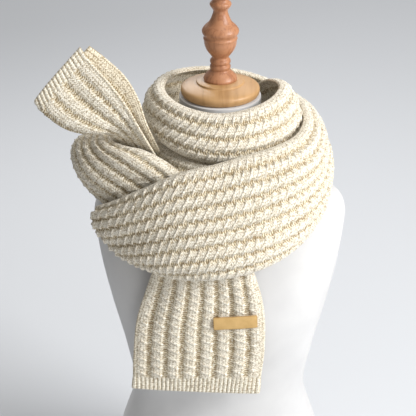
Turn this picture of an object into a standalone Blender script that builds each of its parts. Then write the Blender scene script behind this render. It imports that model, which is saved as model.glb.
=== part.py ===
"""A chunky knitted scarf wound twice round the neck of a limbless dress form.

The scarf is one long ribbed band.  Each stretch of it that shows is a wall of
its own: its sections run across the band, from the edge nearer the neck (top)
over a crown to the other edge (bottom), and the ribs are raised on its outside.
Metres, +Z up, the front of the form looks along -Y, the origin is under the
middle of the form's flat foot.
"""
import math

import bmesh
import bpy
import numpy as np

# ---------------------------------------------------------------- driving sizes
FORM_HEIGHT = 0.690           # foot to the top of the neck
NECK_RADIUS = 0.0575
CAP_RADIUS = 0.0555
CAP_FOOT = 0.6903             # underside of the wooden neck cap, just off the neck

WALL = 0.0040                 # knitted wall between the ribs
RIB_HEIGHT = 0.0030           # how far a rib stands above the wall
RIB_SAMPLES = 4               # points across one rib
HEM_HEIGHT = 0.0010           # how far the flat hem band stands above the wall
STATION_STEP = 0.0135         # distance between sections along the band
SEAM_GAP = 0.0003             # parting between neighbouring stretches
SECTION_POWER = 2.3           # 2 is an ellipse, higher is squarer at the edges
PLACE_STEP = 0.02             # part of a row either side over which a slope is read

LABEL_WIDTH = 0.062
LABEL_HEIGHT = 0.020
LABEL_THICKNESS = 0.0016
LABEL_CENTRE_X = 0.0215
LABEL_CENTRE_Z = 0.4010
LABEL_TILT = math.radians(2.6)

# Sections of the wound band, measured over its ribs.  turn: degrees round the
# neck, 0 at the front, 90 at the left shoulder (-X), 180 behind, 360 in front again.
WOUND_COLUMNS = ("turn_top", "radius_top", "height_top",
                 "turn_bottom", "radius_bottom", "height_bottom",
                 "bow", "lead", "ribs")    # the crown's place outwards and ahead of the chord
LEFT_FOLD_ROWS = (
    (5, 0.113, 0.578, 38, 0.128, 0.518, 0.010, 0, 7),
    (15, 0.116, 0.594, 50, 0.142, 0.530, 0.012, 0, 7),
    (25, 0.120, 0.611, 59, 0.160, 0.541, 0.016, 0, 7),
    (37, 0.125, 0.629, 67, 0.177, 0.553, 0.021, 0, 7),
    (51, 0.135, 0.639, 74, 0.194, 0.570, 0.026, 0, 7),
    (61, 0.147, 0.638, 79, 0.206, 0.589, 0.024, 0, 7),
    (71, 0.156, 0.637, 85, 0.211, 0.607, 0.020, 0, 7),
    (83, 0.154, 0.636, 92, 0.204, 0.614, 0.017, 0, 7),
)
BACK_INNER_ROWS = (
    (97, 0.144, 0.634, 103, 0.184, 0.604, 0.012, 0, 7),
    (120, 0.126, 0.624, 121, 0.160, 0.572, 0.008, 0, 6.7),
    (150, 0.098, 0.614, 150, 0.132, 0.552, 0.008, 0, 6),
    (180, 0.083, 0.632, 180, 0.114, 0.560, 0.009, 0, 5.2),
    (212, 0.077, 0.668, 212, 0.103, 0.590, 0.011, 0, 4.4),
    (240, 0.081, 0.698, 240, 0.105, 0.622, 0.013, 0, 4),
)
NECK_WRAP_ROWS = (
    (270, 0.088, 0.705, 270, 0.111, 0.636, 0.014, 0, 4),
    (300, 0.083, 0.700, 300, 0.107, 0.630, 0.014, 0, 4),
    (330, 0.076, 0.694, 330, 0.101, 0.626, 0.013, 0, 4),
    (360, 0.072, 0.690, 360, 0.095, 0.625, 0.013, 0, 4),
    (390, 0.073, 0.692, 390, 0.098, 0.632, 0.013, 0, 4),
    (420, 0.079, 0.697, 420, 0.101, 0.643, 0.015, 0, 4),
    (450, 0.084, 0.702, 450, 0.101, 0.643, 0.017, 0, 4),
)
BACK_OUTER_ROWS = (
    (480, 0.085, 0.704, 480, 0.106, 0.634, 0.017, 0, 4),
    (510, 0.089, 0.701, 510, 0.124, 0.616, 0.015, 0, 4.8),
    (540, 0.093, 0.696, 540, 0.138, 0.586, 0.016, 0, 6.2),
    (570, 0.104, 0.685, 570, 0.149, 0.566, 0.018, 0, 7.6),
    (600, 0.119, 0.670, 600, 0.154, 0.560, 0.019, 0, 8.6),
)
OUTER_WRAP_ROWS = (
    (630, 0.123, 0.664, 630, 0.153, 0.5592, 0.021, 0, 9),
    (658, 0.125, 0.654, 658, 0.148, 0.5185, 0.0265, 0, 9),
    (682, 0.119, 0.649, 682, 0.149, 0.496, 0.025, 0, 9),
    (702, 0.116, 0.644, 703, 0.153, 0.485, 0.024, 0, 9),
    (722, 0.120, 0.636, 720, 0.157, 0.480, 0.023, 0, 9),
    (743, 0.138, 0.626, 735, 0.160, 0.477, 0.023, 0.004, 9),
    (761, 0.161, 0.599, 747, 0.163, 0.478, 0.024, 0.009, 9),
    (774, 0.183, 0.572, 757, 0.165, 0.484, 0.025, 0.015, 9),
    (781, 0.192, 0.557, 764, 0.166, 0.491, 0.024, 0.018, 9),
    (785, 0.184, 0.543, 766, 0.156, 0.494, 0.018, 0.016, 9),
    (783, 0.170, 0.531, 763, 0.145, 0.493, 0.014, 0.012, 9),
)
UNDER_STRETCH_ROWS = (
    (350, 0.085, 0.622, 350, 0.104, 0.594, 0.006, 0, 2),
    (375, 0.088, 0.625, 375, 0.107, 0.596, 0.006, 0, 2),
    (400, 0.090, 0.629, 400, 0.115, 0.599, 0.007, 0, 2),
    (425, 0.093, 0.636, 425, 0.120, 0.607, 0.007, 0, 2),
    (450, 0.093, 0.636, 450, 0.118, 0.612, 0.006, 0, 2),
)

# Sections of the hanging front end: its right edge, its left edge, how far the
# middle stands forward, and the ribs.
TAIL_COLUMNS = ("right_x", "right_y", "right_z", "left_x", "left_y", "left_z", "bow", "ribs")
FRONT_TAIL_ROWS = (
    (0.0555, -0.1290, 0.2770, -0.1250, -0.1290, 0.2860, 0.0030, 8),
    (0.0630, -0.1285, 0.3450, -0.1250, -0.1275, 0.3350, 0.0040, 8),
    (0.0610, -0.1275, 0.3920, -0.1195, -0.1255, 0.3950, 0.0060, 8),
    (0.0550, -0.1245, 0.4320, -0.1055, -0.1215, 0.4420, 0.0090, 8),
    (0.0400, -0.1205, 0.4830, -0.0895, -0.1175, 0.4830, 0.0155, 8),
    (0.0280, -0.1120, 0.5350, -0.0800, -0.1080, 0.5000, 0.0130, 8),
)

# Sections of the raised side end, folded in two along its length: the edge of
# its front layer, its fold, the edge of its back layer.
SIDE_COLUMNS = ("front_x", "front_y", "front_z", "fold_x", "fold_y", "fold_z",
                "back_x", "back_y", "back_z", "ribs")
SIDE_TAIL_ROWS = (
    (-0.190, -0.040, 0.775, -0.251, -0.058, 0.705, -0.178, -0.030, 0.772, 9),
    (-0.176, -0.045, 0.755, -0.236, -0.063, 0.686, -0.156, -0.030, 0.754, 9),
    (-0.152, -0.055, 0.731, -0.210, -0.064, 0.667, -0.131, -0.034, 0.730, 9),
    (-0.1285, -0.065, 0.702, -0.183, -0.062, 0.659, -0.113, -0.046, 0.702, 9),
    (-0.108, -0.073, 0.669, -0.1565, -0.049, 0.6545, -0.101, -0.0625, 0.669, 9),
    (-0.087, -0.074, 0.631, -0.1285, -0.0385, 0.6225, -0.0845, -0.0705, 0.631, 9),
)

# Rings of the form's outline; a power of 2 is an ellipse, higher is squarer.
FORM_COLUMNS = ("height", "half_width", "half_depth", "forward", "power")
FORM_ROWS = (
    (0.000, 0.158, 0.108, 0.004, 2.3),
    (0.060, 0.168, 0.114, 0.004, 2.3),
    (0.140, 0.152, 0.102, 0.004, 2.3),
    (0.220, 0.130, 0.090, 0.006, 2.3),
    (0.300, 0.140, 0.100, 0.012, 2.3),
    (0.380, 0.158, 0.113, 0.014, 2.4),
    (0.440, 0.172, 0.106, 0.008, 2.5),
    (0.490, 0.181, 0.087, 0.000, 2.4),
    (0.518, 0.182, 0.074, -0.004, 2.4),
    (0.537, 0.170, 0.066, -0.006, 2.3),
    (0.552, 0.138, 0.061, -0.005, 2.1),
    (0.568, 0.098, 0.059, -0.003, 2.0),
    (0.590, 0.072, 0.059, -0.002, 2.0),
    (0.610, 0.0600, 0.0580, 0.000, 2.0),
    (0.640, NECK_RADIUS, NECK_RADIUS, 0.000, 2.0),
    (FORM_HEIGHT, NECK_RADIUS, NECK_RADIUS, 0.000, 2.0),
)
FORM_SEGMENTS = 32
FORM_RINGS = 24
TURNED_SEGMENTS = 24

# Turned profiles: radius, and height above the piece's own foot
CAP_PROFILE = (
    (0.0500, 0.0000), (0.0532, 0.0012), (0.0550, 0.0046), (CAP_RADIUS, 0.0092),
    (0.0538, 0.0124), (0.0484, 0.0148), (0.0400, 0.0170), (0.0338, 0.0184),
    (0.0328, 0.0204), (0.0290, 0.0216), (0.0262, 0.0222),
)
FINIAL_FOOT = 0.7128          # height of the finial's foot, just above the cap
FINIAL_PROFILE = (
    (0.0232, 0.0000), (0.0234, 0.0030), (0.0206, 0.0074), (0.0160, 0.0120),
    (0.0136, 0.0150), (0.0144, 0.0176), (0.0143, 0.0206), (0.0126, 0.0230),
    (0.0143, 0.0256), (0.0140, 0.0290), (0.0116, 0.0330), (0.0152, 0.0385),
    (0.0192, 0.0440), (0.0219, 0.0510), (0.0229, 0.0575), (0.0237, 0.0605),
    (0.0229, 0.0640), (0.0252, 0.0685), (0.0254, 0.0725), (0.0222, 0.0775),
    (0.0162, 0.0835), (0.0122, 0.0915), (0.0101, 0.1000), (0.0143, 0.1070),
    (0.0147, 0.1105), (0.0116, 0.1140), (0.0110, 0.1170), (0.0146, 0.1230),
    (0.0164, 0.1310), (0.0146, 0.1410), (0.0090, 0.1475),
)


# ---------------------------------------------------------------- small helpers
def clear_scene():
    """Empty the scene of whatever the file held."""
    for item in list(bpy.data.objects):
        bpy.data.objects.remove(item, do_unlink=True)


def finish(name, base_colour, roughness, metallic=0.0):
    """A plain Principled material."""
    material = bpy.data.materials.new(name)
    material.use_nodes = True
    shader = material.node_tree.nodes["Principled BSDF"]
    shader.inputs["Base Color"].default_value = (*base_colour, 1.0)
    shader.inputs["Roughness"].default_value = roughness
    shader.inputs["Metallic"].default_value = metallic
    return material


def make_object(name, points, faces, material, smooth=True):
    """A closed mesh object with its faces turned outwards."""
    mesh = bpy.data.meshes.new(name)
    mesh.from_pydata([tuple(point) for point in points], [], faces)
    shape = bmesh.new()
    shape.from_mesh(mesh)
    bmesh.ops.recalc_face_normals(shape, faces=shape.faces[:])
    if shape.calc_volume(signed=True) < 0.0:
        bmesh.ops.reverse_faces(shape, faces=shape.faces[:])
    bmesh.ops.triangulate(shape, faces=[face for face in shape.faces if len(face.verts) > 3])
    shape.to_mesh(mesh)
    shape.free()
    if smooth:
        mesh.shade_smooth()
        mesh.set_sharp_from_angle(angle=math.radians(50))
    mesh.materials.append(material)
    item = bpy.data.objects.new(name, mesh)
    bpy.context.scene.collection.objects.link(item)
    return item


def smooth_rows(rows, places):
    """Rows of numbers read as smooth curves, at fractional row places."""
    table = np.array(rows, dtype=float)
    last = len(table) - 1
    before = np.vstack([2 * table[0] - table[1], table, 2 * table[-1] - table[-2]])
    result = []
    for place in places:
        index = min(int(place), last - 1)
        part = place - index
        p0, p1, p2, p3 = before[index:index + 4]
        result.append(0.5 * (2 * p1 + (p2 - p0) * part
                             + (2 * p0 - 5 * p1 + 4 * p2 - p3) * part ** 2
                             + (3 * p1 - p0 - 3 * p2 + p3) * part ** 3))
    return np.array(result)


# ---------------------------------------------------------------- the knitted band
def wound_section(row):
    """Top edge, crown and bottom edge of a section wound round the neck."""
    cut = dict(zip(WOUND_COLUMNS, row))
    edges = []
    for side in ("top", "bottom"):
        angle = math.radians(cut["turn_" + side])
        radius = cut["radius_" + side]
        edges.append(np.array((-radius * math.sin(angle), -radius * math.cos(angle),
                               cut["height_" + side])))
    top, bottom = edges
    middle = math.radians(0.5 * (cut["turn_top"] + cut["turn_bottom"]))
    outward = np.array((-math.sin(middle), -math.cos(middle), 0.0))
    chord = (bottom - top) / np.linalg.norm(bottom - top)
    outward -= chord * outward.dot(chord)
    outward /= np.linalg.norm(outward)
    top = top - (WALL + RIB_HEIGHT) * outward + WALL * chord
    bottom = bottom - (WALL + RIB_HEIGHT) * outward - WALL * chord
    ahead = np.array((-math.cos(middle), math.sin(middle), 0.0))
    crown = 0.5 * (top + bottom) + cut["bow"] * outward + cut["lead"] * ahead
    return top, crown, bottom


def tail_section(row):
    """Right edge, middle and left edge of a section of the hanging end."""
    cut = dict(zip(TAIL_COLUMNS, row))
    right = np.array([cut["right_" + axis] for axis in "xyz"])
    left = np.array([cut["left_" + axis] for axis in "xyz"])
    crown = 0.5 * (right + left) + np.array((0.0, -cut["bow"], 0.0))
    return right, crown, left


def side_section(row):
    """Front edge, fold and back edge of a section of the folded end."""
    cut = dict(zip(SIDE_COLUMNS, row))
    return [np.array([cut[line + "_" + axis] for axis in "xyz"])
            for line in ("front", "fold", "back")]


def section_points(top, crown, bottom, columns):
    """Points spread evenly along the bowed section from top over crown to bottom."""
    angles = np.linspace(0.0, math.pi, 181)
    across = np.sign(np.cos(angles)) * np.abs(np.cos(angles)) ** (2 / SECTION_POWER)
    outward = np.abs(np.sin(angles)) ** (2 / SECTION_POWER)
    middle = 0.5 * (top + bottom)
    line = middle + np.outer(across, 0.5 * (top - bottom)) + np.outer(outward, crown - middle)
    lengths = np.concatenate([[0.0], np.cumsum(np.linalg.norm(np.diff(line, axis=0), axis=1))])
    wanted = np.linspace(0.0, lengths[-1], columns + 1)
    return np.column_stack([np.interp(wanted, lengths, line[:, axis]) for axis in range(3)])


def even_places(rows, section, first, last, step):
    """Fractional row places between two rows, about one step apart on the crown."""
    fine = np.linspace(first, last, 40 * max(1, int(round(last - first))) + 1)
    crowns = np.array([section(row)[1] for row in smooth_rows(rows, fine)])
    lengths = np.concatenate([[0.0], np.cumsum(np.linalg.norm(np.diff(crowns, axis=0), axis=1))])
    count = max(3, int(round(lengths[-1] / step)))
    return np.interp(np.linspace(0.0, lengths[-1], count + 1), lengths, fine), lengths[-1]


def section_grid(rows, section, places, columns):
    """Points of the plain inside, a line of them for each place along the band."""
    return np.array([section_points(*section(row), columns)
                     for row in smooth_rows(rows, places)])


def surface_normals(rows, section, places, columns):
    """Unit outward normals of the plain inside, each turned into its section's plane."""
    ahead = section_grid(rows, section, places + PLACE_STEP, columns)
    behind = section_grid(rows, section, places - PLACE_STEP, columns)
    across = np.gradient(0.5 * (ahead + behind), axis=1)
    normals = np.cross(ahead - behind, across)
    for line, row in zip(normals, smooth_rows(rows, places)):
        top, crown, bottom = section(row)
        plane = np.cross(crown - top, bottom - crown)
        plane /= np.linalg.norm(plane)
        line -= np.outer(line @ plane, plane)
    return normals / np.linalg.norm(normals, axis=2, keepdims=True)


def rib_profile(phase):
    """Height of the ribs, 0 in a valley and 1 on a rib, at a count of ribs."""
    return np.abs(np.sin(math.pi * phase)) ** 0.7


def rim_strip(outer, inner, samples):
    """Faces between an end's outer points and its fewer inner points."""
    faces = []
    half = samples // 2
    for gap in range(len(inner) - 1):
        start = gap * samples
        for step in range(samples):
            corner = inner[gap] if step < half + samples % 2 else inner[gap + 1]
            faces.append((outer[start + step], outer[start + step + 1], corner))
        turn = outer[start + half + samples % 2]
        faces.append((inner[gap], inner[gap + 1], turn))
    return faces


def wall_faces(table, turned):
    """Four-sided faces over a table of point numbers."""
    faces = []
    for row in range(table.shape[0] - 1):
        for column in range(table.shape[1] - 1):
            quad = (table[row, column], table[row, column + 1],
                    table[row + 1, column + 1], table[row + 1, column])
            faces.append(quad[::-1] if turned else quad)
    return faces


def band_stretch(name, rows, section, first, last, ribs, material,
                 samples=RIB_SAMPLES, trim=(0.0, 0.0), hem_sections=0, outside=1,
                 step=STATION_STEP):
    """One stretch of the band as a closed wall, ribs raised over a plain inside."""
    places, length = even_places(rows, section, first, last, step)
    places[0] += trim[0] / length * (last - first)
    places[-1] -= trim[1] / length * (last - first)
    columns = ribs * samples
    grid = section_grid(rows, section, places, columns)
    normals = outside * surface_normals(rows, section, places, columns)
    counts = smooth_rows(rows, places)[:, -1]
    relief = RIB_HEIGHT * rib_profile(np.outer(counts, np.linspace(0.0, 1.0, columns + 1)))
    relief[:hem_sections] = HEM_HEIGHT
    outer = grid + normals * (WALL + relief)[:, :, None]
    inner = grid[:, ::samples]
    outer_index = np.arange(outer.size // 3).reshape(outer.shape[:2])
    inner_index = outer_index.size + np.arange(inner.size // 3).reshape(inner.shape[:2])
    faces = wall_faces(outer_index, False) + wall_faces(inner_index, True)
    for side in (0, -1):
        for row in range(len(grid) - 1):
            faces.append((outer_index[row, side], outer_index[row + 1, side],
                          inner_index[row + 1, side], inner_index[row, side]))
    for end in (0, -1):
        faces += rim_strip(outer_index[end], inner_index[end], samples)
    faces = [tuple(int(index) for index in face) for face in faces]
    points = np.vstack([outer.reshape(-1, 3), inner.reshape(-1, 3)])
    return make_object(name, points, faces, material)


def wound_stretch(name, before, rows, after, ribs, material, **options):
    """A stretch of the wound band, parted from its neighbours half a row away."""
    table = before[-2:] + rows + after[:2]
    first = 1.5 if before else 0.0
    last = len(table) - 1 - (1.5 if after else 0.0)
    trim = (0.5 * SEAM_GAP if before else 0.0, 0.5 * SEAM_GAP if after else 0.0)
    return band_stretch(name, table, wound_section, first, last, ribs, material,
                        trim=trim, **options)


def build_scarf(knit, leather):
    """Every stretch of the band, in the order in which it is wound."""
    band_stretch("front_tail", FRONT_TAIL_ROWS, tail_section, 0, len(FRONT_TAIL_ROWS) - 1, 8,
                 knit, hem_sections=2)
    wound_stretch("left_fold", (), LEFT_FOLD_ROWS, BACK_INNER_ROWS, 7, knit)
    wound_stretch("back_inner", LEFT_FOLD_ROWS, BACK_INNER_ROWS, NECK_WRAP_ROWS, 7, knit,
                  samples=3)
    wound_stretch("neck_wrap", BACK_INNER_ROWS, NECK_WRAP_ROWS, BACK_OUTER_ROWS, 4, knit)
    wound_stretch("back_outer", NECK_WRAP_ROWS, BACK_OUTER_ROWS, OUTER_WRAP_ROWS, 9, knit)
    wound_stretch("outer_wrap", BACK_OUTER_ROWS, OUTER_WRAP_ROWS, (), 9, knit)
    wound_stretch("under_stretch", (), UNDER_STRETCH_ROWS, (), 2, knit)
    band_stretch("side_tail", SIDE_TAIL_ROWS, side_section, 0, len(SIDE_TAIL_ROWS) - 1, 9,
                 knit, hem_sections=2, outside=-1)
    build_label(leather)


def build_label(leather):
    """The sewn-on leather label, left bare, bent to the ribs that it lies on."""
    columns = 12
    half_width = 0.5 * LABEL_WIDTH
    half_height = 0.5 * LABEL_HEIGHT
    back = []
    front = []
    for level in (-half_height, 0.0, half_height):
        for column in range(columns + 1):
            along = -half_width + LABEL_WIDTH * column / columns
            x = LABEL_CENTRE_X + along * math.cos(LABEL_TILT) - level * math.sin(LABEL_TILT)
            z = LABEL_CENTRE_Z + along * math.sin(LABEL_TILT) + level * math.cos(LABEL_TILT)
            y = label_depth(x, z)
            back.append((x, y, z))
            front.append((x, y - LABEL_THICKNESS, z))
    points = front + back
    width = columns + 1
    count = len(front)
    faces = []
    for offset, turned in ((0, False), (count, True)):
        for row in range(2):
            for column in range(columns):
                start = offset + row * width + column
                quad = (start, start + 1, start + width + 1, start + width)
                faces.append(quad[::-1] if turned else quad)
    border = (list(range(columns)) + [columns, columns + width]
              + [2 * width + columns - step for step in range(columns)] + [2 * width, width])
    for here, there in zip(border, border[1:] + border[:1]):
        faces.append((here, there, there + count, here + count))
    return make_object("leather_label", points, faces, leather, smooth=False)


def label_depth(x, z):
    """Y of the label's back, just in front of the ribs of the hanging end."""
    places = np.linspace(0, len(FRONT_TAIL_ROWS) - 1, 60)
    best = None
    for row in smooth_rows(FRONT_TAIL_ROWS, places):
        right, crown, left = tail_section(row)
        height = 0.5 * (right[2] + left[2])
        if best is None or abs(height - z) < best[0]:
            best = (abs(height - z), right, crown, left)
    _, right, crown, left = best
    line = section_points(right, crown, left, 60)
    order = np.argsort(line[:, 0])
    surface = np.interp(x, line[order, 0], line[order, 1])
    return surface - WALL - RIB_HEIGHT - SEAM_GAP


# ---------------------------------------------------------------- the dress form
def build_form(jersey):
    """The jersey-covered torso, whole from its flat foot to the top of its neck."""
    places = np.linspace(0, len(FORM_ROWS) - 1, FORM_RINGS)
    rows = smooth_rows(FORM_ROWS, places)
    points = []
    for row in rows:
        ring = dict(zip(FORM_COLUMNS, row))
        power = 2 / ring["power"]
        for segment in range(FORM_SEGMENTS):
            angle = 2 * math.pi * segment / FORM_SEGMENTS
            across = math.copysign(abs(math.cos(angle)) ** power, math.cos(angle))
            deep = math.copysign(abs(math.sin(angle)) ** power, math.sin(angle))
            points.append((ring["half_width"] * across,
                           ring["half_depth"] * deep - ring["forward"], ring["height"]))
    faces = [tuple(range(FORM_SEGMENTS))]
    faces.append(tuple(range(len(points) - FORM_SEGMENTS, len(points))))
    for ring in range(len(rows) - 1):
        for segment in range(FORM_SEGMENTS):
            after = (segment + 1) % FORM_SEGMENTS
            faces.append((ring * FORM_SEGMENTS + segment, ring * FORM_SEGMENTS + after,
                          (ring + 1) * FORM_SEGMENTS + after, (ring + 1) * FORM_SEGMENTS + segment))
    return make_object("form_torso", points, faces, jersey)


def turned_piece(name, profile, foot, material):
    """A solid of revolution from a profile of radius and height."""
    points = []
    for radius, height in profile:
        for segment in range(TURNED_SEGMENTS):
            angle = 2 * math.pi * segment / TURNED_SEGMENTS
            points.append((radius * math.cos(angle), radius * math.sin(angle), foot + height))
    rings = len(profile)
    faces = [tuple(range(TURNED_SEGMENTS)),
             tuple(range((rings - 1) * TURNED_SEGMENTS, rings * TURNED_SEGMENTS))]
    for ring in range(rings - 1):
        for segment in range(TURNED_SEGMENTS):
            after = (segment + 1) % TURNED_SEGMENTS
            faces.append((ring * TURNED_SEGMENTS + segment, ring * TURNED_SEGMENTS + after,
                          (ring + 1) * TURNED_SEGMENTS + after,
                          (ring + 1) * TURNED_SEGMENTS + segment))
    return make_object(name, points, faces, material)


def build():
    """The whole part."""
    clear_scene()
    knit = finish("cream_knit", (0.80, 0.74, 0.62), 0.95)
    leather = finish("tan_leather", (0.70, 0.47, 0.20), 0.55)
    jersey = finish("form_jersey", (0.78, 0.79, 0.80), 0.85)
    cap_wood = finish("pale_wood", (0.70, 0.47, 0.27), 0.45)
    finial_wood = finish("finial_wood", (0.56, 0.28, 0.14), 0.38)
    build_form(jersey)
    turned_piece("neck_cap", CAP_PROFILE, CAP_FOOT, cap_wood)
    turned_piece("finial", FINIAL_PROFILE, FINIAL_FOOT, finial_wood)
    build_scarf(knit, leather)


build()
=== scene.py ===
"""A chunky knitted scarf wound twice round the neck of a limbless dress form."""
import math

import bmesh
import bpy
import numpy as np
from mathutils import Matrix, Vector


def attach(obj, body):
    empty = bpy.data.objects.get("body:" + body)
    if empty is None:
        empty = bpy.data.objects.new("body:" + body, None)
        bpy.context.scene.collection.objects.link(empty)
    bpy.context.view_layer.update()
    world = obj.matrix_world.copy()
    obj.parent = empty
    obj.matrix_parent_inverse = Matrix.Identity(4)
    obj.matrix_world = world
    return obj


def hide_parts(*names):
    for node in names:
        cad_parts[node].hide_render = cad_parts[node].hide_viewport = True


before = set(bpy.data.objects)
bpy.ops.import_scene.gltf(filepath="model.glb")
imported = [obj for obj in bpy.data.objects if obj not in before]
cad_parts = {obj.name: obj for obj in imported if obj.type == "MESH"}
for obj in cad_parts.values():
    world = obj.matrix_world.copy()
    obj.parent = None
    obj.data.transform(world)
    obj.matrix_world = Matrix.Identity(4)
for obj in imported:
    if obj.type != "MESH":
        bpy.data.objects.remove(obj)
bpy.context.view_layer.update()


# ------------------------------------------------------------ the dress form's torso
# A firm torso covered in one pale grey-white jersey, whole from its flat foot to the
# top of its neck.  The scarf rests on its neck, shoulders and chest.
NECK_RADIUS = 0.0575
FORM_HEIGHT = 0.690
FORM_COLUMNS = ("height", "half_width", "half_depth", "forward", "power")
FORM_ROWS = (
    (0.000, 0.158, 0.108, 0.004, 2.3),
    (0.060, 0.168, 0.114, 0.004, 2.3),
    (0.140, 0.152, 0.102, 0.004, 2.3),
    (0.220, 0.130, 0.090, 0.006, 2.3),
    (0.300, 0.140, 0.100, 0.012, 2.3),
    (0.380, 0.158, 0.113, 0.014, 2.4),
    (0.440, 0.172, 0.106, 0.008, 2.5),
    (0.490, 0.181, 0.087, 0.000, 2.4),
    (0.518, 0.182, 0.074, -0.004, 2.4),
    (0.537, 0.170, 0.066, -0.006, 2.3),
    (0.552, 0.138, 0.061, -0.005, 2.1),
    (0.568, 0.098, 0.059, -0.003, 2.0),
    (0.590, 0.072, 0.059, -0.002, 2.0),
    (0.610, 0.0600, 0.0580, 0.000, 2.0),
    (0.640, NECK_RADIUS, NECK_RADIUS, 0.000, 2.0),
    (FORM_HEIGHT, NECK_RADIUS, NECK_RADIUS, 0.000, 2.0),
)
FORM_SEGMENTS = 128
FORM_RINGS = 181
FOOT_EDGE = 0.004             # rounding of the jersey over the foot's edge
NECK_EDGE = 0.0012            # and over the neck's top edge
EDGE_RINGS = 6                # rings round each rounded edge


class Wire:
    """A node socket that takes part in Python sums, and adds the nodes it needs."""

    def __init__(self, tree, socket):
        self.tree = tree
        self.socket = socket

    def sum(self, operation, *others):
        return add_node(self.tree, "ShaderNodeMath", {"operation": operation}, self, *others)

    def __add__(self, other):
        return self.sum("ADD", other)

    def __sub__(self, other):
        return self.sum("SUBTRACT", other)

    def __rsub__(self, other):
        return add_node(self.tree, "ShaderNodeMath", {"operation": "SUBTRACT"}, other, self)

    def __mul__(self, other):
        return self.sum("MULTIPLY", other)

    def __truediv__(self, other):
        return self.sum("DIVIDE", other)

    def __pow__(self, other):
        return self.sum("POWER", other)

    def __abs__(self):
        return self.sum("ABSOLUTE")

    __radd__ = __add__
    __rmul__ = __mul__

    def wave(self, power=1.0):
        """Rounded ridges, one for each whole number, 0 between them and 1 on top."""
        ridge = abs((self * math.pi).sum("SINE"))
        return ridge if power == 1.0 else ridge ** power

    def ramp(self, low, high):
        """0 below low, 1 above high, a smooth step between."""
        return add_node(self.tree, "ShaderNodeMapRange", {"interpolation_type": "SMOOTHSTEP"},
                        self, low, high, 0.0, 1.0)


def add_node(tree, kind, settings, *values, output=0):
    """A node with its settings made first, then its sockets set or linked in order."""
    node = tree.nodes.new(kind)
    for name, value in settings.items():
        if name == "stops":
            while len(node.color_ramp.elements) < len(value):
                node.color_ramp.elements.new(1.0)
            for element, (place, colour) in zip(node.color_ramp.elements, value):
                element.position = place
                element.color = (*colour, 1.0)
        else:
            setattr(node, name, value)
    for socket, value in zip(node.inputs, values):
        if isinstance(value, Wire):
            tree.links.new(value.socket, socket)
        elif value is not None:
            socket.default_value = value
    return Wire(tree, node.outputs[output])


def new_material(name, **constants):
    """A material with its Principled shader's constants set on the shader itself."""
    material = bpy.data.materials.new(name)
    material.use_nodes = True
    shader = material.node_tree.nodes["Principled BSDF"]
    for key, value in constants.items():
        shader.inputs["IOR" if key == "ior" else key.replace("_", " ").title()
                      ].default_value = value
    return material, material.node_tree, shader


def drive(tree, shader, **wires):
    """Link what varies over the surface to the shader's sockets."""
    for key, wire in wires.items():
        tree.links.new(wire.socket, shader.inputs[key.replace("_", " ").title()])


def mixed(tree, factor, first, second, blend="MIX"):
    """One colour laid over another."""
    node = tree.nodes.new("ShaderNodeMix")
    node.data_type = "RGBA"
    node.blend_type = blend
    for place, value in ((0, factor), (6, first), (7, second)):
        if isinstance(value, Wire):
            tree.links.new(value.socket, node.inputs[place])
        else:
            node.inputs[place].default_value = value if place == 0 else (*value, 1.0)
    return Wire(tree, node.outputs[2])


def speckle(tree, where, scale, detail=2.0, roughness=0.5, output=0):
    """Noise read at the given coordinates, from 0 to 1."""
    return add_node(tree, "ShaderNodeTexNoise", {"noise_dimensions": "3D"},
                    where, None, scale, detail, roughness, output=output)


def raised(tree, height, distance, strength=1.0):
    """A bumped normal from a height between 0 and 1."""
    return add_node(tree, "ShaderNodeBump", {}, strength, distance, None, height)


def smooth_rows(rows, places):
    """Rows of numbers read as smooth curves, at fractional row places."""
    table = np.array(rows, dtype=float)
    last = len(table) - 1
    fenced = np.vstack([2 * table[0] - table[1], table, 2 * table[-1] - table[-2]])
    places = np.asarray(places, dtype=float)
    index = np.minimum(places.astype(int), last - 1)
    part = (places - index)[:, None]
    p0, p1, p2, p3 = (fenced[index + step] for step in range(4))
    return 0.5 * (2 * p1 + (p2 - p0) * part + (2 * p0 - 5 * p1 + 4 * p2 - p3) * part ** 2
                  + (3 * p1 - p0 - 3 * p2 + p3) * part ** 3)


def make_mesh(name, points, faces, **attributes):
    """An object from points, faces of three or four corners, and values on its points."""
    mesh = bpy.data.meshes.new(name)
    mesh.from_pydata(points, [], faces)
    for key, values in attributes.items():
        values = np.asarray(values, dtype=np.float32)
        if values.ndim == 2:
            layer = mesh.attributes.new(key, "FLOAT_VECTOR", "POINT")
            layer.data.foreach_set("vector", values.ravel())
        else:
            layer = mesh.attributes.new(key, "FLOAT", "POINT")
            layer.data.foreach_set("value", values)
    mesh.shade_smooth()
    item = bpy.data.objects.new(name, mesh)
    bpy.context.scene.collection.objects.link(item)
    return item


def face_outwards(item):
    """Turn a closed mesh's faces outwards."""
    shape = bmesh.new()
    shape.from_mesh(item.data)
    bmesh.ops.recalc_face_normals(shape, faces=shape.faces[:])
    if shape.calc_volume(signed=True) < 0.0:
        bmesh.ops.reverse_faces(shape, faces=shape.faces[:])
    shape.to_mesh(item.data)
    shape.free()


def ring_faces(rings, segments):
    """Faces between stacked closed rings, with the two ends filled by fans' centres."""
    faces = []
    for ring in range(rings - 1):
        for segment in range(segments):
            after = (segment + 1) % segments
            faces.append((ring * segments + segment, ring * segments + after,
                          (ring + 1) * segments + after, (ring + 1) * segments + segment))
    low, high = rings * segments, rings * segments + 1
    top = (rings - 1) * segments
    for segment in range(segments):
        after = (segment + 1) % segments
        faces.append((after, segment, low))
        faces.append((top + segment, top + after, high))
    return faces


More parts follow.
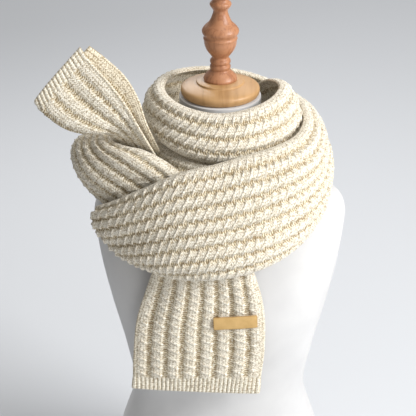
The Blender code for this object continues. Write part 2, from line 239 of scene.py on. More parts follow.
def build_torso():
    """The torso as closed rings, rounded in at the foot and at the neck's top."""
    places = np.linspace(0, len(FORM_ROWS) - 1, FORM_RINGS)
    rows = smooth_rows(FORM_ROWS, places)
    angles = np.linspace(0, 2 * math.pi, FORM_SEGMENTS, endpoint=False)
    points = []
    rings = [(FOOT_EDGE * (1 - math.cos(turn)), FOOT_EDGE * (1 - math.sin(turn)), rows[0])
             for turn in np.linspace(0, math.pi / 2, EDGE_RINGS)]
    rings += [(row[0], 0.0, row) for row in rows if FOOT_EDGE < row[0] < FORM_HEIGHT - NECK_EDGE]
    rings += [(FORM_HEIGHT - NECK_EDGE * (1 - math.sin(turn)),
               NECK_EDGE * (1 - math.cos(turn)), rows[-1])
              for turn in np.linspace(0, math.pi / 2, EDGE_RINGS)]
    for height, inset, row in rings:
        cut = dict(zip(FORM_COLUMNS, row))
        power = 2 / cut["power"]
        across = np.sign(np.cos(angles)) * np.abs(np.cos(angles)) ** power
        deep = np.sign(np.sin(angles)) * np.abs(np.sin(angles)) ** power
        points += list(zip((cut["half_width"] - inset) * across,
                           (cut["half_depth"] - inset) * deep - cut["forward"],
                           np.full(FORM_SEGMENTS, height)))
    points += [(0.0, 0.0, 0.0), (0.0, 0.0, FORM_HEIGHT)]
    item = make_mesh("torso_cover", points, ring_faces(len(rings), FORM_SEGMENTS))
    face_outwards(item)
    return item


def jersey_material():
    """Fine pale jersey, with rows of stitches about a millimetre apart."""
    material, tree, shader = new_material("pale_jersey", roughness=0.85, sheen_weight=0.25,
                                          sheen_roughness=0.5)
    place = add_node(tree, "ShaderNodeTexCoord", {}, output=3)
    parts = tree.nodes.new("ShaderNodeSeparateXYZ")
    tree.links.new(place.socket, parts.inputs[0])
    height = Wire(tree, parts.outputs[2])
    side = Wire(tree, parts.outputs[0])
    courses = (height * 900.0).wave()
    wales = (side * 800.0).wave()
    cloud = speckle(tree, place, 14.0, 3.0)
    tone = add_node(tree, "ShaderNodeValToRGB",
                    {"stops": ((0.3, (0.60, 0.60, 0.605)), (0.7, (0.67, 0.67, 0.67)))}, cloud)
    drive(tree, shader, base_color=tone,
          normal=raised(tree, courses * 0.5 + wales * 0.5, 0.0002, 0.5))
    return material


torso = build_torso()
torso.data.materials.append(jersey_material())
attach(torso, "root")
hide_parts("form_torso")


# ------------------------------------------------------------ the neck cap
# A disc of pale wood turned on a lathe, domed on top with a small raised bead, and
# fixed to the top of the neck by the finial's spigot.
CAP_FOOT = 0.6903
CAP_PROFILE = (
    (0.0500, 0.0000), (0.0532, 0.0012), (0.0550, 0.0046), (0.0555, 0.0092),
    (0.0538, 0.0124), (0.0484, 0.0148), (0.0400, 0.0170), (0.0338, 0.0184),
    (0.0328, 0.0204), (0.0290, 0.0216), (0.0262, 0.0222),
)
TURNED_SEGMENTS = 96
TURNED_STEPS = 8              # fine rings between two rows of a profile


def turned_piece(name, profile, foot, material):
    """A turned piece: a smooth profile of radius and height spun round the axis."""
    places = np.linspace(0, len(profile) - 1, (len(profile) - 1) * TURNED_STEPS + 1)
    rings = smooth_rows(profile, places)
    angles = np.linspace(0, 2 * math.pi, TURNED_SEGMENTS, endpoint=False)
    points = [(radius * math.cos(angle), radius * math.sin(angle), foot + height)
              for radius, height in rings for angle in angles]
    points += [(0.0, 0.0, foot + rings[0][1]), (0.0, 0.0, foot + rings[-1][1])]
    item = make_mesh(name, points, ring_faces(len(rings), TURNED_SEGMENTS))
    face_outwards(item)
    item.data.set_sharp_from_angle(angle=math.radians(60))
    item.data.materials.append(material)
    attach(item, "root")
    return item


def wood_material(name, dark, light, grain, stretch, roughness):
    """Satin turned wood: growth rings drawn out along the grain, pores and lathe lines."""
    material, tree, shader = new_material(name, roughness=roughness, coat_weight=0.15,
                                          coat_roughness=0.35, ior=1.45)
    place = add_node(tree, "ShaderNodeTexCoord", {}, output=3)
    along = add_node(tree, "ShaderNodeMapping", {}, place, (0.013, 0.02, 0.0), None, stretch)
    cloud = speckle(tree, along, grain, 4.0, 0.6)
    pores = speckle(tree, along, grain * 9.0, 2.0, 0.7)
    bands = (cloud * 5.0).wave() * 0.35 + cloud * 0.65
    tone = add_node(tree, "ShaderNodeValToRGB",
                    {"stops": ((0.22, dark), (0.68, light))}, bands)
    tone = mixed(tree, pores.ramp(0.60, 0.80) * 0.25, tone,
                 tuple(0.55 * part for part in dark))
    parts = tree.nodes.new("ShaderNodeSeparateXYZ")
    tree.links.new(place.socket, parts.inputs[0])
    lathe = (Wire(tree, parts.outputs[2]) * 1400.0).wave()
    drive(tree, shader, base_color=tone, roughness=pores * 0.18 + (roughness - 0.08),
          normal=raised(tree, pores * 0.6 + lathe * 0.25, 0.0002, 0.35))
    return material


cap = turned_piece("neck_cap_turned", CAP_PROFILE, CAP_FOOT,
                   wood_material("pale_cap_wood", (0.41, 0.225, 0.092), (0.53, 0.315, 0.140),
                                 9.0, (3.4, 0.4, 1.0), 0.42))
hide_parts("neck_cap")


# ------------------------------------------------------------ the finial
# A baluster of warm reddish wood, turned in one length: a bell foot, two beads, an urn
# with a beaded rim, a waist, and a plain knob at the top.
FINIAL_FOOT = 0.7128
FINIAL_PROFILE = (
    (0.0232, 0.0000), (0.0234, 0.0030), (0.0206, 0.0074), (0.0160, 0.0120),
    (0.0136, 0.0150), (0.0144, 0.0176), (0.0143, 0.0206), (0.0126, 0.0230),
    (0.0143, 0.0256), (0.0140, 0.0290), (0.0116, 0.0330), (0.0152, 0.0385),
    (0.0192, 0.0440), (0.0219, 0.0510), (0.0229, 0.0575), (0.0237, 0.0605),
    (0.0229, 0.0640), (0.0252, 0.0685), (0.0254, 0.0725), (0.0222, 0.0775),
    (0.0162, 0.0835), (0.0122, 0.0915), (0.0101, 0.1000), (0.0143, 0.1070),
    (0.0147, 0.1105), (0.0116, 0.1140), (0.0110, 0.1170), (0.0146, 0.1230),
    (0.0164, 0.1310), (0.0146, 0.1410), (0.0090, 0.1475),
)
finial = turned_piece("finial_turned", FINIAL_PROFILE, FINIAL_FOOT,
                      wood_material("warm_finial_wood", (0.31, 0.125, 0.057),
                                    (0.46, 0.213, 0.106), 22.0, (4.0, 4.0, 0.55), 0.42))
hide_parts("finial")


# ------------------------------------------------------------ the hanging front end
# The scarf's one end, with its flat 1x1 ribbed hem, hanging down the chest.  Knitted in
# marled cream wool: ribs a finger wide, crossed by cords, with sunk purl rows between.
TAIL_COLUMNS = ("right_x", "right_y", "right_z", "left_x", "left_y", "left_z", "bow", "ribs")
FRONT_TAIL_ROWS = (
    (0.0555, -0.1290, 0.2770, -0.1250, -0.1290, 0.2860, 0.0030, 8),
    (0.0630, -0.1285, 0.3450, -0.1250, -0.1275, 0.3350, 0.0040, 8),
    (0.0610, -0.1275, 0.3920, -0.1195, -0.1255, 0.3950, 0.0060, 8),
    (0.0550, -0.1245, 0.4320, -0.1055, -0.1215, 0.4420, 0.0090, 8),
    (0.0400, -0.1205, 0.4830, -0.0895, -0.1175, 0.4830, 0.0155, 8),
    (0.0280, -0.1120, 0.5350, -0.0800, -0.1080, 0.5000, 0.0130, 8),
)
SECTION_POWER = 2.3           # 2 is an ellipse, higher is squarer at the edges
COURSE = 0.0033               # one row of stitches
COURSE_STEPS = 3              # mesh rows in one course
CROSSING_COURSES = 4          # courses from one crossing cord to the next
COLUMNS_A_RIB = 16            # mesh columns across one rib and its purl row
INSIDE_SHARE = 4              # outside columns to one inside column
CROSSING_LENGTH = COURSE * CROSSING_COURSES
LANE = 0.66                   # where a crossing cord starts and ends, of a rib's half width
CORD = 0.46                   # half the width of a crossing cord, of a rib's half width
EDGE_ROUND = 0.0034           # rounding of the selvedges
SELVEDGE = 0.0050             # the edge's own column of chain stitches
FLAT_EDGE = 0.0060            # the crossings fade out over this width, next to the chain
EDGE_COLUMNS = (0.0, 0.0004, 0.0012, 0.0024)
END_SQUEEZE = 0.22            # thickness left at a free edge, as a part of the whole
WALL_MIDDLE = 0.0026          # the height that a free edge closes towards
HEM_RIBS = 31
HEM_STEP = 0.0024             # length over which the hem's flat ribs take over
SECTION_POINTS = 181          # points that a section's line is measured at
SLOPE_STEP = 0.02             # of a table row, on either side, for a surface's slope
RIB_PITCH = 0.021             # a rib and its purl rows, on the flat band
BAND_WIDTH = 0.19
CREASE_COLUMNS = ("along", "across", "turn", "long", "wide", "height")
CREASE_FADE = 0.030           # creases die out this far from the ends of a stretch
FRONT_TAIL_CREASES = (
    (0.195, 0.34, 4, 0.060, 0.017, -0.0028),
    (0.185, 0.66, -6, 0.070, 0.016, 0.0026),
    (0.150, 0.88, 5, 0.060, 0.018, -0.0030),
    (0.095, 0.99, 3, 0.110, 0.026, -0.0050),
    (0.060, 0.62, -8, 0.060, 0.022, 0.0020),
    (0.045, 0.02, 0, 0.060, 0.014, -0.0030),
)


def tail_section(row):
    """Right edge, middle and left edge of a section of the hanging end."""
    cut = dict(zip(TAIL_COLUMNS, row))
    right = np.array([cut["right_" + axis] for axis in "xyz"])
    left = np.array([cut["left_" + axis] for axis in "xyz"])
    crown = 0.5 * (right + left) + np.array((0.0, -cut["bow"], 0.0))
    return right, crown, left


def section_points(top, crown, bottom, spread):
    """Points along the bowed section, at parts of its length from top to bottom."""
    angles = np.linspace(0.0, math.pi, SECTION_POINTS)
    across = np.sign(np.cos(angles)) * np.abs(np.cos(angles)) ** (2 / SECTION_POWER)
    outward = np.abs(np.sin(angles)) ** (2 / SECTION_POWER)
    middle = 0.5 * (top + bottom)
    line = middle + np.outer(across, 0.5 * (top - bottom)) + np.outer(outward, crown - middle)
    lengths = np.concatenate([[0.0], np.cumsum(np.linalg.norm(np.diff(line, axis=0), axis=1))])
    wanted = spread * lengths[-1]
    return np.column_stack([np.interp(wanted, lengths, line[:, axis]) for axis in range(3)])


def section_grid(rows, section, places, spread):
    """Points of the plain inside, a line of them for each place along the band."""
    return np.array([section_points(*section(row), spread)
                     for row in smooth_rows(rows, places)])


def course_places(rows, section, first, last):
    """Row places at every mesh row between two table rows, and their lengths along."""
    fine = np.linspace(0, len(rows) - 1, 40 * (len(rows) - 1) + 1)
    crowns = np.array([section(row)[1] for row in smooth_rows(rows, fine)])
    lengths = np.concatenate([[0.0], np.cumsum(np.linalg.norm(np.diff(crowns, axis=0), axis=1))])
    low, high = np.interp((first, last), fine, lengths)
    step = COURSE / COURSE_STEPS
    inner = np.arange(math.ceil(low / step + 0.3), math.floor(high / step - 0.3) + 1) * step
    along = np.concatenate([[low], inner, [high]])
    return np.interp(along, lengths, fine), along


def surface_normals(rows, section, places, spread):
    """Unit outward normals of the plain inside."""
    ahead = section_grid(rows, section, places + SLOPE_STEP, spread)
    behind = section_grid(rows, section, places - SLOPE_STEP, spread)
    across = np.gradient(0.5 * (ahead + behind), spread, axis=1)
    normals = np.cross(ahead - behind, across)
    return normals / np.linalg.norm(normals, axis=2, keepdims=True)


def wall_faces(table, turned):
    """Four-sided faces over a table of point numbers."""
    quads = np.stack([table[:-1, :-1], table[:-1, 1:], table[1:, 1:], table[1:, :-1]], axis=-1)
    quads = quads.reshape(-1, 4)
    return (quads[:, ::-1] if turned else quads).tolist()


def rim_strip(outer, inner, samples, turned):
    """Faces between an end's outer points and its fewer inner points."""
    faces = []
    half = samples // 2 + samples % 2
    for gap in range(len(inner) - 1):
        start = gap * samples
        for step in range(samples):
            corner = inner[gap] if step < half else inner[gap + 1]
            faces.append([outer[start + step], outer[start + step + 1], corner])
        faces.append([inner[gap], outer[start + half], inner[gap + 1]])
    return [face[::-1] for face in faces] if turned else faces


def rounded(distance, radius):
    """How full the wall is at a distance from a free edge: 0 at the edge, 1 past radius."""
    part = np.clip(distance / radius, 0.0, 1.0)
    return END_SQUEEZE + (1 - END_SQUEEZE) * np.sqrt(1 - (1 - part) ** 2)


def creased(grid, normals, along, spread, creases):
    """Soft troughs and ridges laid over a stretch, each turned across its run."""
    shift = np.zeros(grid.shape[:2])
    for row in creases:
        crease = dict(zip(CREASE_COLUMNS, row))
        turn = math.radians(crease["turn"])
        far = (along - along[0] - crease["along"])[:, None]
        aside = (spread - crease["across"])[None, :] * BAND_WIDTH
        run = far * math.cos(turn) + aside * math.sin(turn)
        off = aside * math.cos(turn) - far * math.sin(turn)
        shift += crease["height"] * np.exp(-(run / crease["long"]) ** 2
                                           - (off / crease["wide"]) ** 2)
    from_end = np.minimum(along - along[0], along[-1] - along)
    fade = np.clip(from_end / CREASE_FADE, 0.0, 1.0)[:, None]
    return grid + normals * (shift * fade ** 2 * (3 - 2 * fade))[:, :, None]


def knit_shell(name, rows, section, first, last, ribs, shares, twists, waists, outside=1,
               hems=(0.0, 0.0), free=(True, True), creases=(), plump=1.0):
    """The band's plain wall as a closed shell, carrying what its stitches follow."""
    places, along = course_places(rows, section, first, last)
    table = smooth_rows(rows, places)
    edge = np.array(EDGE_COLUMNS) / (RIB_PITCH * ribs)
    middle = np.linspace(0.0, 1.0, ribs * COLUMNS_A_RIB + 1)
    middle = middle[(middle > edge[-1] + 0.0006) & (middle < 1 - edge[-1] - 0.0006)]
    spread = np.concatenate([edge, middle, 1 - edge[::-1]])
    spare = (len(spread) - 1) % INSIDE_SHARE
    if spare:
        spread = np.delete(spread, len(edge) + 2 * np.arange(1, spare + 1))
    grid = section_grid(rows, section, places, spread)
    normals = outside * surface_normals(rows, section, places, spread)
    grid = creased(grid, normals, along, spread, creases)
    lengths = np.linalg.norm(np.diff(grid, axis=1), axis=2)
    reach = np.concatenate([np.zeros((len(grid), 1)), np.cumsum(lengths, axis=1)], axis=1)
    from_edge = np.minimum(reach, reach[:, -1:] - reach)
    full = rounded(from_edge, EDGE_ROUND)
    from_start = (along - along[0])[:, None]
    from_end = (along[-1] - along)[:, None]
    if free[0]:
        full = full * rounded(from_start, EDGE_ROUND)
    if free[1]:
        full = full * rounded(from_end, EDGE_ROUND)
    hem = np.zeros(grid.shape[:2])
    for depth, far in zip(hems, (from_start, from_end)):
        if depth:
            hem = np.maximum(hem, np.clip((depth + 0.5 * HEM_STEP - far) / HEM_STEP, 0.0, 1.0)
                             * np.ones_like(hem))
    across = np.outer(table[:, -1], spread)
    part = (along - along[0]) / (along[-1] - along[0])
    flat_edge = np.clip((from_edge - SELVEDGE) / FLAT_EDGE, 0.0, 1.0)
    values = {
        "along": np.broadcast_to(along[:, None], hem.shape),
        "across": across,
        "hem": hem,
        "hem_rib": np.broadcast_to(spread[None, :] * HEM_RIBS, hem.shape),
        "full": full,
        "edge": from_edge / SELVEDGE,
        "face": np.ones_like(hem),
        "slant": np.full_like(hem, float(outside)),
        "share": np.broadcast_to(np.interp(part, (0, 1), shares)[:, None], hem.shape),
        "twist": np.interp(part, (0, 1), twists)[:, None] * flat_edge,
        "waist": np.interp(part, (0, 1), waists)[:, None] * flat_edge,
        "plump": np.full_like(hem, plump),
        "outward": normals,
    }
    inner = {key: value[:, ::INSIDE_SHARE] for key, value in values.items()}
    inner["face"] = -np.ones_like(inner["full"])
    points = np.vstack([grid.reshape(-1, 3), grid[:, ::INSIDE_SHARE].reshape(-1, 3)])
    outer_index = np.arange(hem.size).reshape(hem.shape)
    inner_index = hem.size + np.arange(inner["full"].size).reshape(inner["full"].shape)
    flip = outside > 0
    faces = wall_faces(outer_index, not flip) + wall_faces(inner_index, flip)
    for side, turned in ((0, flip), (-1, not flip)):
        strip = np.stack([outer_index[:, side], inner_index[:, side]], axis=1)
        faces += wall_faces(strip, turned)
    for end, turned in ((0, flip), (-1, not flip)):
        faces += rim_strip(outer_index[end].tolist(), inner_index[end].tolist(),
                           INSIDE_SHARE, turned)
    joined = {key: np.concatenate([values[key].reshape(-1, *values[key].shape[2:]),
                                   inner[key].reshape(-1, *inner[key].shape[2:])])
              for key in values}
    return make_mesh(name, points, faces, **joined)


def crossed_rib(along, across, read):
    """A broad rib with a cord that crosses over it once a repeat.

    Gives the rib's height, 0 to 1, the place across it, -1 to 1, how near the crossing
    is, how far the cord stands out, and the notch beside the cord.
    """
    repeat = along / CROSSING_LENGTH
    repeat = repeat - repeat.sum("FLOOR")
    crossing = repeat.wave(1.3)
    lane = (repeat.ramp(0.18, 0.82) - 0.5) * (2 * LANE) * read("slant") * read("face")
    place = (across - across.sum("FLOOR") - 0.5) * 2.0 / read("share")
    drawn_in = place / (1.0 - crossing * read("waist"))
    body = (1.0 - (drawn_in * drawn_in) ** 1.1).sum("MAXIMUM", 0.0) ** 0.5 * 0.66
    cord_side = (place - lane) / CORD
    cord = (1.0 - cord_side * cord_side).sum("MAXIMUM", 0.0) ** 0.5 * crossing.ramp(0.05, 0.6)
    raised_cord = (cord - body).sum("MAXIMUM", 0.0) * read("twist")
    notch = (1.0 - abs(cord - body + 0.08).ramp(0.02, 0.26)) * cord.ramp(0.15, 0.5)
    return body + raised_cord, place, crossing, raised_cord, notch


def stitch_tree():
    """Geometry nodes that raise ribs, cords, purl rows and hem ribs on a plain shell."""
    tree = bpy.data.node_groups.new("knitting", "GeometryNodeTree")
    tree.interface.new_socket("Geometry", in_out="INPUT", socket_type="NodeSocketGeometry")
    tree.interface.new_socket("Geometry", in_out="OUTPUT", socket_type="NodeSocketGeometry")
    sizes = (("Rib height", 0.0054), ("Purl floor", 0.0023), ("Purl bar", 0.0008),
             ("Selvedge", 0.0052), ("Hem floor", 0.0028), ("Hem rib", 0.0020),
             ("Inside rib", 0.0013), ("Course", COURSE))
    for name, value in sizes:
        socket = tree.interface.new_socket(name, in_out="INPUT", socket_type="NodeSocketFloat")
        socket.default_value = value
    socket = tree.interface.new_socket("Yarn", in_out="INPUT", socket_type="NodeSocketMaterial")
    entry = tree.nodes.new("NodeGroupInput")
    leave = tree.nodes.new("NodeGroupOutput")
    size = {name: Wire(tree, entry.outputs[name]) for name, _ in sizes}

    def read(name, kind="FLOAT"):
        node = tree.nodes.new("GeometryNodeInputNamedAttribute")
        node.data_type = kind
        node.inputs["Name"].default_value = name
        return Wire(tree, node.outputs["Attribute"])

    along, across, face = read("along"), read("across"), read("face")
    rib, *_ = crossed_rib(along, across, read)
    course = (along / size["Course"] + 0.5).wave(0.8)
    purl = size["Purl floor"] + size["Purl bar"] * course * (1.0 - rib.ramp(0.0, 0.3))
    outer = purl + size["Rib height"] * rib * read("plump")
    hem_rib = read("hem_rib").wave(0.7)
    hem = read("hem")
    flat = size["Hem floor"] + size["Hem rib"] * hem_rib
    outer = outer + (flat - outer) * hem
    chain = (1.0 - read("edge")).sum("MAXIMUM", 0.0).ramp(0.0, 0.35)
    chain = chain * (course * 0.3 + 0.7)
    outer = outer + (size["Selvedge"] - outer) * chain
    inside = size["Inside rib"] * (1.0 - rib.ramp(0.0, 0.6)) * (1.0 - hem)
    high = outer.sum("MAXIMUM", 0.0)
    height = inside + (high - inside) * (face * 0.5 + 0.5)
    height = WALL_MIDDLE + (height - WALL_MIDDLE) * read("full")

    outward = read("outward", "FLOAT_VECTOR")
    offset = tree.nodes.new("ShaderNodeVectorMath")
    offset.operation = "SCALE"
    tree.links.new(outward.socket, offset.inputs[0])
    tree.links.new(height.socket, offset.inputs["Scale"])
    move = tree.nodes.new("GeometryNodeSetPosition")
    tree.links.new(entry.outputs["Geometry"], move.inputs["Geometry"])
    tree.links.new(offset.outputs[0], move.inputs["Offset"])
    realize = tree.nodes.new("GeometryNodeRealizeInstances")
    paint = tree.nodes.new("GeometryNodeSetMaterial")
    tree.links.new(move.outputs["Geometry"], realize.inputs["Geometry"])
    tree.links.new(realize.outputs["Geometry"], paint.inputs["Geometry"])
    tree.links.new(entry.outputs["Yarn"], paint.inputs["Material"])
    tree.links.new(paint.outputs["Geometry"], leave.inputs["Geometry"])
    return tree


def knitted(item, tree, yarn):
    """The shell's stitches raised by the node tree and kept as a plain mesh."""
    modifier = item.modifiers.new("knitting", "NODES")
    modifier.node_group = tree
    for socket in tree.interface.items_tree:
        if socket.item_type == "SOCKET" and socket.in_out == "INPUT" and socket.name == "Yarn":
            modifier[socket.identifier] = yarn
    shaped = item.evaluated_get(bpy.context.evaluated_depsgraph_get())
    mesh = bpy.data.meshes.new_from_object(shaped)
    item.modifiers.remove(modifier)
    plain = item.data
    item.data = mesh
    bpy.data.meshes.remove(plain)
    mesh.name = item.name
    mesh.shade_smooth()
    return item


def yarn_material():
    """Marled wool: cream ribs, tan purl rows, flecks, knitted Vs, painted shade and highlights.
    """
    material, tree, shader = new_material("marled_wool", roughness=0.95, sheen_weight=0.30,
                                          sheen_roughness=0.45, ior=1.4)

    def read(name):
        return add_node(tree, "ShaderNodeAttribute", {"attribute_name": name}, output=2)

    place = add_node(tree, "ShaderNodeTexCoord", {}, output=3)
    along, across, face = read("along"), read("across"), read("face")
    hem, hem_rib, twist = read("hem"), read("hem_rib"), read("twist")
    rib, rib_side, crossing, cord, notch = crossed_rib(along, across, read)
    chain = (1.0 - read("edge")).sum("MAXIMUM", 0.0).ramp(0.0, 0.35)
    wale = rib_side * 2.0 - (rib_side * 2.0).sum("FLOOR")
    fold = abs(wale - 0.5) * 2.0
    stitches = (along / COURSE + fold * 0.6).wave(0.6) * (rib_side * 2.0).wave(0.4)
    valley = abs(across - (across + 0.5).sum("FLOOR"))
    bars = (along / COURSE + 0.5 + valley * 2.2).wave(0.9)
    cords = (along / COURSE + abs(hem_rib - hem_rib.sum("FLOOR") - 0.5) * 1.1).wave(0.6)
    on_rib = rib.sum("MAXIMUM", chain * 0.7).ramp(0.10, 0.45)
    fine = speckle(tree, place, 1500.0, 3.0, 0.7)
    fleck = speckle(tree, place, 420.0, 3.0, 0.65)
    cloud = speckle(tree, place, 30.0, 2.0)
    patchy = speckle(tree, place, 190.0, 2.0, 0.6).ramp(0.36, 0.62) * 0.55 + 0.45
    # The dark ends below sit in the gaps between the knitted Vs and between the purl bars:
    # partly the tan of the marled yarn, partly painted shade in those recesses; patchy varies
    # how strongly they show.
    rib_tone = mixed(tree, (stitches * patchy).ramp(0.02, 0.45), (0.36, 0.28, 0.16),
                     (0.90, 0.84, 0.705))
    purl_tone = mixed(tree, (bars * patchy).ramp(0.18, 0.80), (0.235, 0.155, 0.062),
                      (0.84, 0.74, 0.54))
    # Painted shade: the rib's tone darkens towards its foot, where it meets the purl row.
    rib_tone = mixed(tree, (1.0 - rib.ramp(0.25, 0.70)) * 0.18, rib_tone, (0.46, 0.37, 0.23))
    # Painted highlight: the middle of each rib is lightened towards near-white.
    crown = 1.0 - abs(rib_side).ramp(0.15, 0.75)
    rib_tone = mixed(tree, crown * 0.30, rib_tone, (0.97, 0.93, 0.84))
    # Painted shade: a dark line in the notch beside each crossing cord.
    rib_tone = mixed(tree, notch * twist * 0.55, rib_tone, (0.30, 0.22, 0.11))
    # Painted highlight: the crossing cords are lightened where they stand out.
    rib_tone = mixed(tree, cord.ramp(0.05, 0.22) * 0.35, rib_tone, (0.97, 0.93, 0.84))
    tight = (1.0 - crossing).ramp(0.60, 1.0) * twist * 0.35
    purl_tone = mixed(tree, tight, purl_tone, (0.66, 0.57, 0.40))
    tone = mixed(tree, on_rib, purl_tone, rib_tone)
    # On the hem, the dark tone between its flat ribs and courses is partly the tan of the yarn,
    # partly painted shade in those recesses.
    hem_high = hem_rib.wave(0.7)
    tone = mixed(tree, hem, tone, mixed(tree, (hem_high * (cords * 0.5 + 0.5)).ramp(0.06, 0.80),
                                        (0.34, 0.26, 0.15), (0.90, 0.85, 0.72)))
    tone = mixed(tree, fleck.ramp(0.51, 0.61) * 0.75, tone, (0.36, 0.28, 0.17))
    tone = mixed(tree, (1.0 - fleck).ramp(0.53, 0.64) * 0.7, tone, (0.96, 0.93, 0.83))
    tone = mixed(tree, fine.ramp(0.58, 0.72) * 0.35, tone, (0.42, 0.35, 0.25))
    tone = mixed(tree, cloud.ramp(0.3, 0.7) * 0.10, tone, (0.96, 0.91, 0.80), "MULTIPLY")
    # Painted shade: the band's inside face is tinted warmer and a little darker, like shade with
    # warm light bounced into it.
    tone = mixed(tree, 0.5 - face * 0.5, tone, (1.0, 0.975, 0.92), "MULTIPLY")
    detail = stitches * on_rib + bars * (1.0 - on_rib)
    detail = detail + (cords * 0.5 + hem_high * 0.5 - detail) * hem
    height = detail * 0.55 + fleck * 0.45 + rib * (1.0 - face) * 0.6
    drive(tree, shader, base_color=tone, normal=raised(tree, height, 0.0012, 0.9))
    return material


wool = yarn_material()
knitting = stitch_tree()
front = knit_shell("scarf_front_tail", FRONT_TAIL_ROWS, tail_section, 0,
                   len(FRONT_TAIL_ROWS) - 1, 8, (0.76, 0.76), (0.62, 0.62), (0.06, 0.06),
                   hems=(0.025, 0.0), creases=FRONT_TAIL_CREASES)
knitted(front, knitting, wool)
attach(front, "root")
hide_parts("front_tail")


# ------------------------------------------------------------ the turns round the neck
# The same band, wound on: up from under the outer wrap over the left shoulder, behind
# the neck, round it as the neck wrap, behind it again, and down across the front.
WOUND_COLUMNS = ("turn_top", "radius_top", "height_top",
                 "turn_bottom", "radius_bottom", "height_bottom",
                 "bow", "lead", "ribs")
LEFT_FOLD_ROWS = (
    (5, 0.113, 0.578, 38, 0.128, 0.518, 0.010, 0, 7),
    (15, 0.116, 0.594, 50, 0.142, 0.530, 0.012, 0, 7),
    (25, 0.120, 0.611, 59, 0.160, 0.541, 0.016, 0, 7),
    (37, 0.125, 0.629, 67, 0.177, 0.553, 0.021, 0, 7),
    (51, 0.135, 0.639, 74, 0.194, 0.570, 0.026, 0, 7),
    (61, 0.147, 0.638, 79, 0.206, 0.589, 0.024, 0, 7),
    (71, 0.156, 0.637, 85, 0.211, 0.607, 0.020, 0, 7),
    (83, 0.154, 0.636, 92, 0.204, 0.614, 0.017, 0, 7),
)
BACK_INNER_ROWS = (
    (97, 0.144, 0.634, 103, 0.184, 0.604, 0.012, 0, 7),
    (120, 0.126, 0.624, 121, 0.160, 0.572, 0.008, 0, 6.7),
    (150, 0.098, 0.614, 150, 0.132, 0.552, 0.008, 0, 6),
    (180, 0.083, 0.632, 180, 0.114, 0.560, 0.009, 0, 5.2),
    (212, 0.077, 0.668, 212, 0.103, 0.590, 0.011, 0, 4.4),
    (240, 0.081, 0.698, 240, 0.105, 0.622, 0.013, 0, 4),
)
NECK_WRAP_ROWS = (
    (270, 0.088, 0.705, 270, 0.111, 0.636, 0.014, 0, 4),
    (300, 0.083, 0.700, 300, 0.107, 0.630, 0.014, 0, 4),
    (330, 0.076, 0.694, 330, 0.101, 0.626, 0.013, 0, 4),
    (360, 0.072, 0.690, 360, 0.095, 0.625, 0.013, 0, 4),
    (390, 0.073, 0.692, 390, 0.098, 0.632, 0.013, 0, 4),
    (420, 0.079, 0.697, 420, 0.101, 0.643, 0.015, 0, 4),
    (450, 0.084, 0.702, 450, 0.101, 0.643, 0.017, 0, 4),
)
BACK_OUTER_ROWS = (
    (480, 0.085, 0.704, 480, 0.106, 0.634, 0.017, 0, 4),
    (510, 0.089, 0.701, 510, 0.124, 0.616, 0.015, 0, 4.8),
    (540, 0.093, 0.696, 540, 0.138, 0.586, 0.016, 0, 6.2),
    (570, 0.104, 0.685, 570, 0.149, 0.566, 0.018, 0, 7.6),
    (600, 0.119, 0.670, 600, 0.154, 0.560, 0.019, 0, 8.6),
)
OUTER_WRAP_ROWS = (
    (630, 0.123, 0.664, 630, 0.153, 0.5592, 0.021, 0, 9),
    (658, 0.125, 0.654, 658, 0.148, 0.5185, 0.0265, 0, 9),
    (682, 0.119, 0.649, 682, 0.149, 0.496, 0.025, 0, 9),
    (702, 0.116, 0.644, 703, 0.153, 0.485, 0.024, 0, 9),
    (722, 0.120, 0.636, 720, 0.157, 0.480, 0.023, 0, 9),
    (743, 0.138, 0.626, 735, 0.160, 0.477, 0.023, 0.004, 9),
    (761, 0.161, 0.599, 747, 0.163, 0.478, 0.024, 0.009, 9),
    (774, 0.183, 0.572, 757, 0.165, 0.484, 0.025, 0.015, 9),
    (781, 0.192, 0.557, 764, 0.166, 0.491, 0.024, 0.018, 9),
    (785, 0.184, 0.543, 766, 0.156, 0.494, 0.018, 0.016, 9),
    (783, 0.170, 0.531, 763, 0.145, 0.493, 0.014, 0.012, 9),
)
WALL_AND_RIB = 0.0070         # the tables measure over the ribs
WALL = 0.0040


def wound_section(row):
    """Top edge, crown and bottom edge of a section wound round the neck."""
    cut = dict(zip(WOUND_COLUMNS, row))
    edges = []
    for side in ("top", "bottom"):
        angle = math.radians(cut["turn_" + side])
        radius = cut["radius_" + side]
        edges.append(np.array((-radius * math.sin(angle), -radius * math.cos(angle),
                               cut["height_" + side])))
    top, bottom = edges
    middle = math.radians(0.5 * (cut["turn_top"] + cut["turn_bottom"]))
    outward = np.array((-math.sin(middle), -math.cos(middle), 0.0))
    chord = (bottom - top) / np.linalg.norm(bottom - top)
    outward -= chord * outward.dot(chord)
    outward /= np.linalg.norm(outward)
    top = top - WALL_AND_RIB * outward + WALL * chord
    bottom = bottom - WALL_AND_RIB * outward - WALL * chord
    ahead = np.array((-math.cos(middle), math.sin(middle), 0.0))
    crown = 0.5 * (top + bottom) + cut["bow"] * outward + cut["lead"] * ahead
    return top, crown, bottom


TURNS = LEFT_FOLD_ROWS + BACK_INNER_ROWS + NECK_WRAP_ROWS + BACK_OUTER_ROWS + OUTER_WRAP_ROWS
